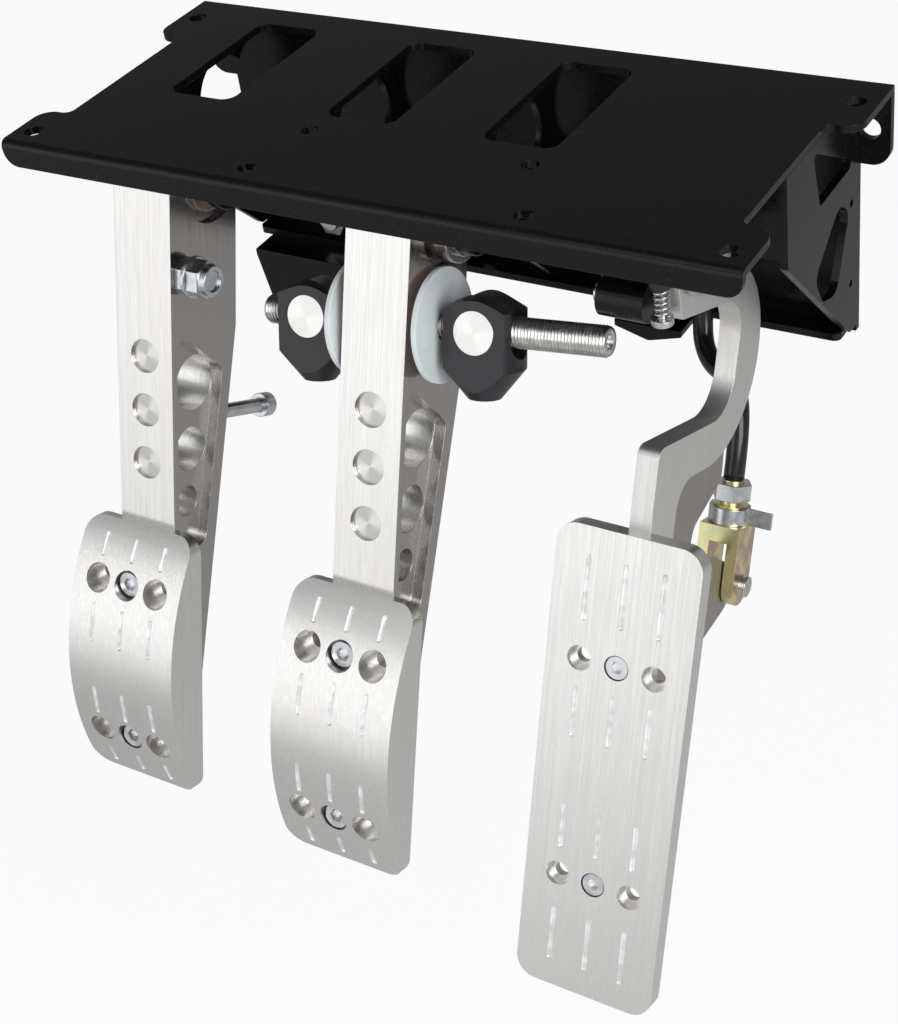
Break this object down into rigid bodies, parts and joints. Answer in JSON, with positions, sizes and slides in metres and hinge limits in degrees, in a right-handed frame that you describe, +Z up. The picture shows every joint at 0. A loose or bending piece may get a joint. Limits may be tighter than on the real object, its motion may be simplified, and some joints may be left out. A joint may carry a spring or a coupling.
{
  "type": "pedal box",
  "caption": "Hanging pedal box for a car: folded black frame with clutch and brake arms, a balance bar and a cable throttle pedal.",
  "frame": {"origin": "centre of the four corner holes on the top face of the mounting plate", "axes": "+X to the driver's right, +Y forwards to the bulkhead, +Z up out of the plate"},
  "size_m": [0.296, 0.2169, 0.2669],
  "materials": {
    "black_paint": "gloss black powder coat",
    "milled_aluminium": "milled, satin",
    "pad_aluminium": "fine brushed",
    "black_anodised": "satin black",
    "steel": "turned, bright",
    "nylon": "satin white",
    "bronze": "turned",
    "yellow_zinc": "yellow passivated",
    "cable_sheath": "satin black sheath",
    "zinc": "zinc plated"
  },
  "bodies": {
    "frame": {"brake_pivot_bolt": "zinc", "brake_pivot_lugs": "black_paint", "brake_pivot_nut": "zinc", "brake_spacers": "steel", "brake_washer": "steel", "cable_ferrule": "zinc", "clutch_pivot_bolt": "zinc", "clutch_pivot_lugs": "black_paint", "clutch_pivot_nut": "zinc", "clutch_spacers": "steel", "cylinder_bolt": "zinc", "cylinder_nut": "zinc", "inner_gusset_left": "black_paint", "inner_gusset_right": "black_paint", "lower_bracket_left": "black_paint", "lower_bracket_right": "black_paint", "mount_plate": "black_paint", "rear_plate": "black_paint", "side_gusset_left": "black_paint", "side_gusset_right": "black_paint", "throttle_cable": "cable_sheath", "throttle_housing_screw": "zinc", "throttle_pivot_bolt": "zinc", "throttle_pivot_housing": "black_paint", "throttle_pivot_nut": "zinc", "throttle_stop_screw": "zinc", "throttle_stop_seat": "black_anodised", "throttle_stop_spring": "steel", "throttle_washers": "steel"},
    "clutch_pedal": {"clutch_arm": "milled_aluminium", "clutch_bushes": "bronze", "clutch_pad": "pad_aluminium", "clutch_pad_screws": "zinc", "clutch_cross_bolt": "zinc", "clutch_cross_washer": "zinc", "clutch_cross_nut": "zinc", "clutch_stop_screw": "steel", "clutch_stop_nut": "steel"},
    "brake_pedal": {"brake_arm": "milled_aluminium", "brake_bushes": "bronze", "brake_pad": "pad_aluminium", "brake_pad_screws": "zinc", "bias_tube": "steel", "bias_race": "steel", "bias_circlips": "steel"},
    "balance": {"bias_ball": "steel", "bias_discs": "nylon"},
    "bar": {"bias_bar": "steel"},
    "left_trunnion": {"trunnion_left": "steel"},
    "left_clevis": {"clevis_left": "black_anodised"},
    "right_trunnion": {"trunnion_right": "steel"},
    "right_clevis": {"clevis_right": "black_anodised"},
    "throttle_pedal": {"throttle_arm": "milled_aluminium", "throttle_bushes": "bronze", "throttle_pad": "pad_aluminium", "throttle_pad_screws": "zinc", "throttle_clevis_pin": "steel"},
    "cable_end": {"throttle_clevis": "yellow_zinc", "throttle_clip": "zinc", "throttle_lock_nut": "zinc"}
  },
  "joints": [
    {"name": "clutch_hinge", "type": "hinge", "parent": "frame", "child": "clutch_pedal", "pos_m": [-0.0945, -0.0275, -0.0235], "axis": [1, 0, 0], "range_deg": [0, 24], "stiffness_Nm_per_rad": 2, "springref_deg": -11.46},
    {"name": "brake_hinge", "type": "hinge", "parent": "frame", "child": "brake_pedal", "pos_m": [0.009, -0.0275, -0.0235], "axis": [1, 0, 0], "range_deg": [0, 22], "stiffness_Nm_per_rad": 2, "springref_deg": -17.19},
    {"name": "balance_hinge", "type": "hinge", "parent": "brake_pedal", "child": "balance", "pos_m": [0.009, -0.04671, -0.05539], "axis": [0, 0.3379, 0.9412], "range_deg": [-4, 4]},
    {"name": "bar_spin", "type": "hinge", "parent": "balance", "child": "bar", "pos_m": [0.009, -0.04671, -0.05539], "axis": [0.9958, 0.0504, 0.0758], "continuous": true},
    {"name": "left_trunnion_hinge", "type": "hinge", "parent": "balance", "child": "left_trunnion", "pos_m": [0.009, -0.04671, -0.05539], "axis": [0.9958, 0.0504, 0.0758], "range_deg": [-8, 115]},
    {"name": "left_clevis_hinge", "type": "hinge", "parent": "left_trunnion", "child": "left_clevis", "pos_m": [-0.02526, -0.04844, -0.05799], "axis": [-0.0188, 0.9287, -0.3703], "range_deg": [-4, 4]},
    {"name": "right_trunnion_hinge", "type": "hinge", "parent": "balance", "child": "right_trunnion", "pos_m": [0.009, -0.04671, -0.05539], "axis": [0.9958, 0.0504, 0.0758], "range_deg": [-8, 115]},
    {"name": "right_clevis_hinge", "type": "hinge", "parent": "right_trunnion", "child": "right_clevis", "pos_m": [0.04326, -0.04497, -0.05278], "axis": [-0.0188, 0.9287, -0.3703], "range_deg": [-4, 4]},
    {"name": "throttle_hinge", "type": "hinge", "parent": "frame", "child": "throttle_pedal", "pos_m": [0.112, -0.0275, -0.0235], "axis": [1, 0, 0], "range_deg": [0, 15], "stiffness_Nm_per_rad": 1.5, "springref_deg": -17.19, "deforming": ["throttle_cable"]},
    {"name": "cable_end_hinge", "type": "hinge", "parent": "throttle_pedal", "child": "cable_end", "pos_m": [0.112, -0.011, -0.17101], "axis": [1, 0, 0], "range_deg": [-3, 3], "deforming": ["throttle_cable"]}
  ],
  "couplings": [
    {"joint": "cable_end_hinge", "follows": "throttle_hinge", "ratio": -0.2}
  ]
}
